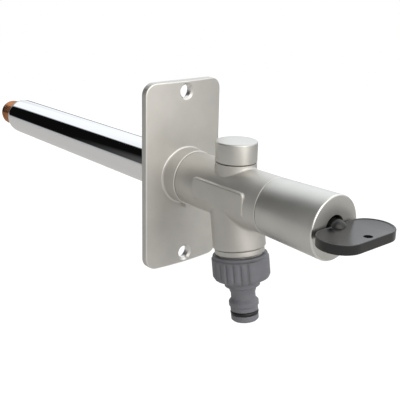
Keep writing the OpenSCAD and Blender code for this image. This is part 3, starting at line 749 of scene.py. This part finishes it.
def side_panel():
    """The flat panel, as an outline drawn out of the barrel."""
    bm = bmesh.new()
    near, far, r = PANEL_MID - PANEL_HALF, PANEL_MID + PANEL_HALF, 2.5
    corners = [(near, PANEL_FOOT, 0), (far, PANEL_FOOT, 0), (far, PANEL_TOP, r), (near, PANEL_TOP, r)]
    outline = rounded(corners, steps=8)
    face = bm.faces.new([bm.verts.new((-PANEL_OUT, p[0], p[1])) for p in outline])
    grown = bmesh.ops.extrude_face_region(bm, geom=[face])["geom"]
    bmesh.ops.translate(bm, vec=(6, 0, 0), verts=[g for g in grown if isinstance(g, bmesh.types.BMVert)])
    bmesh.ops.recalc_face_normals(bm, faces=bm.faces[:])
    outer = [e for e in bm.edges if all(v.co.x < 0.1 - PANEL_OUT for v in e.verts)]
    rim = [e for e in outer if any(v.co.z > PANEL_FOOT + 0.04 for v in e.verts)]
    bmesh.ops.bevel(bm, geom=rim, offset=1.0, segments=6, profile=0.5, affect="EDGES", material=-1)
    for z in (-3.2, -3.6, -4, -4.4, -4.8, -5.6, -7.2):
        bmesh.ops.bisect_plane(bm, geom=bm.verts[:] + bm.edges[:] + bm.faces[:], plane_co=(0, 0, z),
                               plane_no=(0, 0, 1))
    for v in bm.verts:
        if v.co.z < PANEL_BEND and v.co.x < -12:
            v.co.x += PANEL_RUN_IN * (PANEL_BEND - v.co.z) / (PANEL_BEND - PANEL_FOOT)
    return bm


body = joined(barrel, spout, boss, outlet, side_panel())
keep(body, "cast_body", "tap", CAST, ["tap_body"], crease=30)

# %% [markdown]
# The sleeve covers the headwork. It flares a little towards its front, where the keyhole is. The cap
# keeps rain off the air valve and has a rounded rim. Both are plain turned shells, so one section each is
# all they need.

# %% Sleeve and cap
sleeve = turned(rounded([
    (14.65, SLEEVE_BACK, 0), (BODY_R, SLEEVE_BACK, 0.35), (SLEEVE_R, SLEEVE_FRONT, 0.9),
    (KEYHOLE_R, SLEEVE_FRONT, 0.4), (KEYHOLE_R, 120.5, 0.3), (15.1, 120.5, 0), (15.1, 91.5, 0),
    (14.65, 91.5, 0)]))
keep(place(sleeve, ALONG_TAP), "flared_sleeve", "tap", TURNED, ["sleeve"], crease=32)
CAP_LOW, CAP_TOP = BOSS_TOP + 0.5, 30.7
cap = turned(rounded([
    (0, 28.3, 0), (9.2, 28.3, 0), (9.2, 24.1, 0), (8.4, 24.1, 0), (8.4, 20.9, 0), (10.4, 20.9, 0),
    (10.4, CAP_LOW, 0.2), (BOSS_R, CAP_LOW, 0.35), (BOSS_R, CAP_TOP, 1.0), (0, CAP_TOP, 0)], steps=7),
             closed=False)
keep(place(cap, UPRIGHT), "vent_cap", "tap", TURNED, ["breaker_cap"], crease=32)

# %% [markdown]
# The loose key is one moulding. Its bow is a flat stadium with a raised rim round its dished faces. The
# bow could be inset and bevelled step by step, but its dish is a soft curve, so one outline is laid at
# many margins and heights and skinned.

# %% Key's bow
BOW_LENGTH, BOW_WIDTH, BOW_AT = 46.5, 23.4, 136.3
RIM_START, RIM_LEVEL = 1.3, 2.16


def bow(margin, z, steps=40):
    """The bow's outline at a height, drawn in by a margin."""
    r, half = BOW_WIDTH / 2 - margin, (BOW_LENGTH - BOW_WIDTH) / 2
    turns = [(cx, math.radians(first + k * 180 / steps))
             for cx, first in ((half, -90), (-half, 90)) for k in range(steps + 1)]
    return [Vector((cx + r * math.cos(a), r * math.sin(a) - BOW_AT, z)) for cx, a in turns]


def dish(margin):
    """The height of the dished face at a margin, which sinks towards the middle of the bow."""
    inward = margin - RIM_START
    return RIM_LEVEL - 0.1 * inward * (1 - inward / (BOW_WIDTH - 2 * RIM_START))


key = bmesh.new()
levels = [(m, dish(m)) for m in (11.6, 9.5, 7.5, 5.8, 4.4, 3.2, 2.2, 1.5)]
levels += [(1.2, 2.2), (0.95, 2.4), (0.8, 2.48), (0.65, 2.5), (0.3, 2.5), (0.1, 2.42), (0.0, 2.25)]
upper = [ring_of(key, bow(m, z)) for m, z in levels]
lower = [ring_of(key, bow(m, -z)) for m, z in reversed(levels)]
skin(key, upper + lower)
print("bow:", len(key.faces), "faces")

# %% [markdown]
# The stem runs from the bow into the keyhole. It ends in a ball on the bow's side and has a square
# socket, which fits over the spindle. A hole near the bow's edge takes a key ring. The stem is united
# with the bow, and the holes are cut, so that the key is one closed piece as it is in the hand.

# %% Key's stem and holes
STEM_R, STEM_BACK, BALL_AT = 5.2, 104.5, 124.6
dome = [Vector((STEM_R * math.cos(a), BALL_AT + STEM_R * math.sin(a)))
        for a in (math.radians(k * 5) for k in range(19))]
stem_back = [Vector((0, STEM_BACK)), Vector((5.0, STEM_BACK)), Vector((STEM_R, STEM_BACK + 0.3))]
stem = place(turned(dome + stem_back, steps=96), ALONG_TAP)
RING_HOLE_R, RING_HOLE_AT = 2.25, Matrix.Translation((0, -143.15, 0))
ring_hole = plug([(0, -4, 0), (RING_HOLE_R, -4, 0), (RING_HOLE_R, 4, 0), (0, 4, 0)], RING_HOLE_AT, 64)
key = carve(key, [ring_hole])
key = carve(key, [stem], "UNION")
key = carve(key, [block((0, -111.3, 0), (6.2, 15.6, 6.2))])
keep(key, "socket_key_bow", "key", BLACK, ["socket_key"], crease=34, weighted=True)

# %% [markdown]
# The hose connector is one moulding: a nut with a smooth rim and a fine groove, a stepped shoulder, and
# the click-on nipple with its locking ring and seal. It is spun from one section, whose long lines are
# divided so that the grip grooves have points to bend.

# %% Hose connector
RING_R, RING_TOP, RING_LOW = 8.75, TIP_END - 11.9, TIP_END - 9.5
SEAL_TOP, SEAL_LOW, SEAL_FLOOR = 70.0, 72.4, 6.1
outside = [
    (13.3, NUT_TOP, 0.2), (16.0, NUT_TOP, 0.3), (16.0, 37.35, 0.1), (15.75, 37.5, 0.08), (16.05, 37.7, 0.1),
    (NUT_R, 38.1, 0.2), (NUT_R, NUT_LOW, 0.6), (15.85, 50.4, 0.8), (10.4, STEP_AT - 0.1, 0.35),
    (10.4, STEP_AT + 1.8, 0.4), (8.3, STEP_AT + 3.1, 1.0), (7.2, STEP_AT + 6.2, 2.0),
    (7.2, TIP_END - 13.8, 0.4), (RING_R, RING_TOP, 0.25), (RING_R, RING_LOW, 0.3),
    (NIPPLE_R, RING_LOW + 0.6, 0.25), (NIPPLE_R, SEAL_TOP, 0.12), (SEAL_FLOOR, SEAL_TOP, 0),
    (SEAL_FLOOR, SEAL_LOW, 0), (NIPPLE_R, SEAL_LOW, 0.12), (NIPPLE_R, TIP_END - 1.1, 0.3),
    (7.1, TIP_END - 0.1, 0.4), (6.2, TIP_END, 0.2), (4.8, TIP_END, 0.2), (4.8, 51.6, 0), (7.3, NUT_LOW, 0),
    (13.27, NUT_LOW, 0)]
section = []
for p in rounded(outside, steps=4):
    reach = (p - section[-1]).length if section else 0
    pieces = 10 if 1.5 < reach and p.x > 9 and p.y < 54 else 1
    section += [section[-1].lerp(p, k / pieces) for k in range(1, pieces)] + [p]
nut = turned([(p.x, -p.y) for p in section], steps=360)
print("connector's section:", len(section), "points")

# %% [markdown]
# The nut's grip has two fields of seven grooves with a plain pad between them. A straight cutter would
# leave sharp ribs, but the real ones have soft round backs. So the grooves are pressed in instead: each
# point moves towards the axis by a depth that depends on its angle and its height.

# %% Grip grooves and nipple seal
FIELD_MIDDLES, GROOVE_STEP, EACH_WAY = (16, 196), 15, 3
GROOVES = [math.radians(middle + GROOVE_STEP * k)
           for middle in FIELD_MIDDLES for k in range(-EACH_WAY, EACH_WAY + 1)]
GROOVE_DEPTH, GROOVE_HALF, RIB_REACH, RIB_RISE = 0.68, 1.05, 2.2, 0.16


def smooth(x, low, high):
    """A soft step from 0 to 1."""
    t = min(1, max(0, (x - low) / (high - low)))
    return t * t * (3 - 2 * t)


def groove(turn, down):
    """How far the nut is pressed in at an angle and a height."""
    off = min(abs(math.remainder(turn - g, 2 * math.pi)) for g in GROOVES) * NUT_R
    start, end = smooth(down, 38.0, 38.9), 1 - smooth(down, 50.2, 52.6)
    cut = max(0, 1 - (off / GROOVE_HALF) ** 2) ** 1.5 * GROOVE_DEPTH
    back = RIB_RISE * min(1, off / RIB_REACH) ** 2 - RIB_RISE if off < 2 * RIB_REACH else 0
    return max(0, cut - back) * start * end


for v in nut.verts:
    r, down = math.hypot(v.co.x, v.co.y), -v.co.z
    if r > 13.6 and 37.9 < down < 53:
        shrink = 1 - groove(math.atan2(v.co.y, v.co.x), down) / r
        v.co.x *= shrink
        v.co.y *= shrink
place(nut, ALONG_SPOUT)
keep(nut, "ribbed_connector", "connector", GREY, ["hose_connector"], crease=30)
SEAL_R, SEAL_THICK, SEAL_AT = 7.25, 1.1, (SEAL_TOP + SEAL_LOW) / 2
seal = turned([Vector((SEAL_R + SEAL_THICK * math.cos(a), SEAL_THICK * math.sin(a) - SEAL_AT))
               for a in (2 * math.pi * k / 24 for k in range(24))])
keep(place(seal, ALONG_SPOUT), "nipple_seal", "connector", RUBBER, ["connector_o_ring"])

# %% [markdown]
# The stage is a plain pale floor below the tap. For the camera it also glows a little, so that it melts
# into the white background and only the tap's shadow shows on it. For all other rays it is plain pale
# grey.

# %% Floor
FLOOR_Z = -0.32


def stage_floor():
    bm = bmesh.new()
    bmesh.ops.create_grid(bm, x_segments=1, y_segments=1, size=2, matrix=Matrix.Translation((0, 0, FLOOR_Z)))
    mesh = bpy.data.meshes.new("floor")
    bm.to_mesh(mesh)
    bm.free()
    floor = bpy.data.objects.new("floor", mesh)
    bpy.context.scene.collection.objects.link(floor)
    f = Finish("pale_floor", (0.58, 0.58, 0.58), 0.9, Emission_Strength=1.0)
    seen = f.node("ShaderNodeLightPath")
    f.feed("Base Color", f.mix(seen, (0.585, 0.575, 0.56), (0.5, 0.5, 0.5)))
    f.feed("Emission Color", f.mix(seen, (0.0, 0.0, 0.0), (0.6, 0.6, 0.6)))
    mesh.materials.append(f.material)
    return floor


print("floor:", stage_floor().name)

# %% [markdown]
# Metal shows whatever stands round it, so a studio's walls are what gives the tap its look. Lamps and
# cards could stand there, but the world itself can hold the same light and needs no objects. It has five
# rings of light, one under the horizon, a narrow one along it and three above it, and a dim zenith. Each
# ring is one colour ramp round the compass: a white backdrop behind and to the right, a broad soft light
# in front, a dim wall at the left, and a black flat at the back left. That flat is the black band along
# the chromed tube.

# %% Studio walls
BRIGHTEST, ZENITH = 3.0, 0.5
SEAM = 195
COMPASS = [0, 35, 65, 98.5, 101.5, 122, 150, 195, 235, 270, 305, 332]
BELOW = [0.15, 0.20, 0.20, 0.45, 0.50, 0.50, 0.40, 0.40, 0.75, 1.30, 0.40, 0.15]
HORIZON = [0.70, 0.85, 0.15, 0.02, 0.004, 0.004, 0.35, 0.25, 0.85, 2.80, 0.95, 0.62]
MIDDLE = [0.78, 1.26, 1.02, 0.02, 0.004, 0.004, 0.38, 0.25, 1.00, 2.90, 0.95, 0.66]
UPPER = [1.12, 1.50, 1.15, 1.10, 0.004, 0.004, 0.34, 0.28, 1.40, 2.20, 1.25, 1.05]
ABOVE = [1.35, 1.55, 1.25, 0.80, 0.05, 0.10, 0.20, 0.30, 1.80, 2.00, 1.40, 1.30]
RISES = [(HORIZON, -4, -1), (MIDDLE, 3, 7), (UPPER, 18, 23), (ABOVE, 34, 48)]


class Studio(Finish):
    """The world, which is built as a finish is."""

    def __init__(self):
        world = bpy.data.worlds.new("studio")
        bpy.context.scene.world = world
        world.use_nodes = True
        self.tree = world.node_tree
        self.shader = next(n for n in self.tree.nodes if n.type == "BACKGROUND")
        self.shader.inputs["Strength"].default_value = BRIGHTEST

    def ring(self, compass, levels):
        """A ring of light, cool behind and warm in front. Each stop is a share of the brightest."""
        stops = []
        for bearing, level in zip(COMPASS, levels):
            cool = 0.035 * math.cos(math.radians(bearing - 60))
            colour = tinted((1 - cool, 1, 1 + cool), level / BRIGHTEST)
            stops.append(((bearing - SEAM) % 360 / 360, colour))
        stops.sort()
        stops.append((1.0, stops[0][1]))
        return self.node("ShaderNodeValToRGB", {"stops": stops}, {0: compass})


def studio_light():
    w = Studio()
    east, north, up = w.axes(w.node("ShaderNodeTexCoord"))
    bearing = north.math("ARCTAN2", north, east) / math.tau + (2 - SEAM / 360)
    compass = bearing.math("FRACT", bearing)
    height = up.math("ARCSINE", up) * math.degrees(1)
    light = w.ring(compass, BELOW)
    for levels, low, high in RISES:
        light = w.mix(height.ramp(low, high), light, w.ring(compass, levels))
    light = w.mix(height.ramp(55, 80), light, (ZENITH / BRIGHTEST,) * 3)
    seen = w.node("ShaderNodeLightPath")
    w.feed("Color", w.mix(seen, light, (1 / BRIGHTEST,) * 3))


studio_light()
print("the studio has", (1 + len(RISES)) * len(COMPASS), "places of light")

# %% [markdown]
# The camera stands where the photograph's stood. Its place, its turn and its lens were solved from the
# outlines of the tap, so that the render can be laid over the photograph.

# %% Camera
lens = bpy.data.cameras.new("camera")
lens.sensor_width = 36.0
lens.lens = 61.084
lens.shift_x, lens.shift_y = 0.0990, -0.0938
lens.clip_start, lens.clip_end = 0.01, 200
camera = bpy.data.objects.new("camera", lens)
bpy.context.scene.collection.objects.link(camera)
right = Vector((0.799732, -0.600339, 0.004697))
up = Vector((0.154997, 0.214024, 0.964453))
ahead = Vector((0.580004, 0.770576, -0.264212))
turn = Matrix((right, up, -ahead)).transposed().to_4x4()
camera.matrix_world = Matrix.Translation((-0.258435, -0.323362, 0.119612)) @ turn
bpy.context.scene.camera = camera
bpy.context.scene.view_settings.view_transform = "Standard"
print("camera at", [round(c, 3) for c in camera.matrix_world.translation])
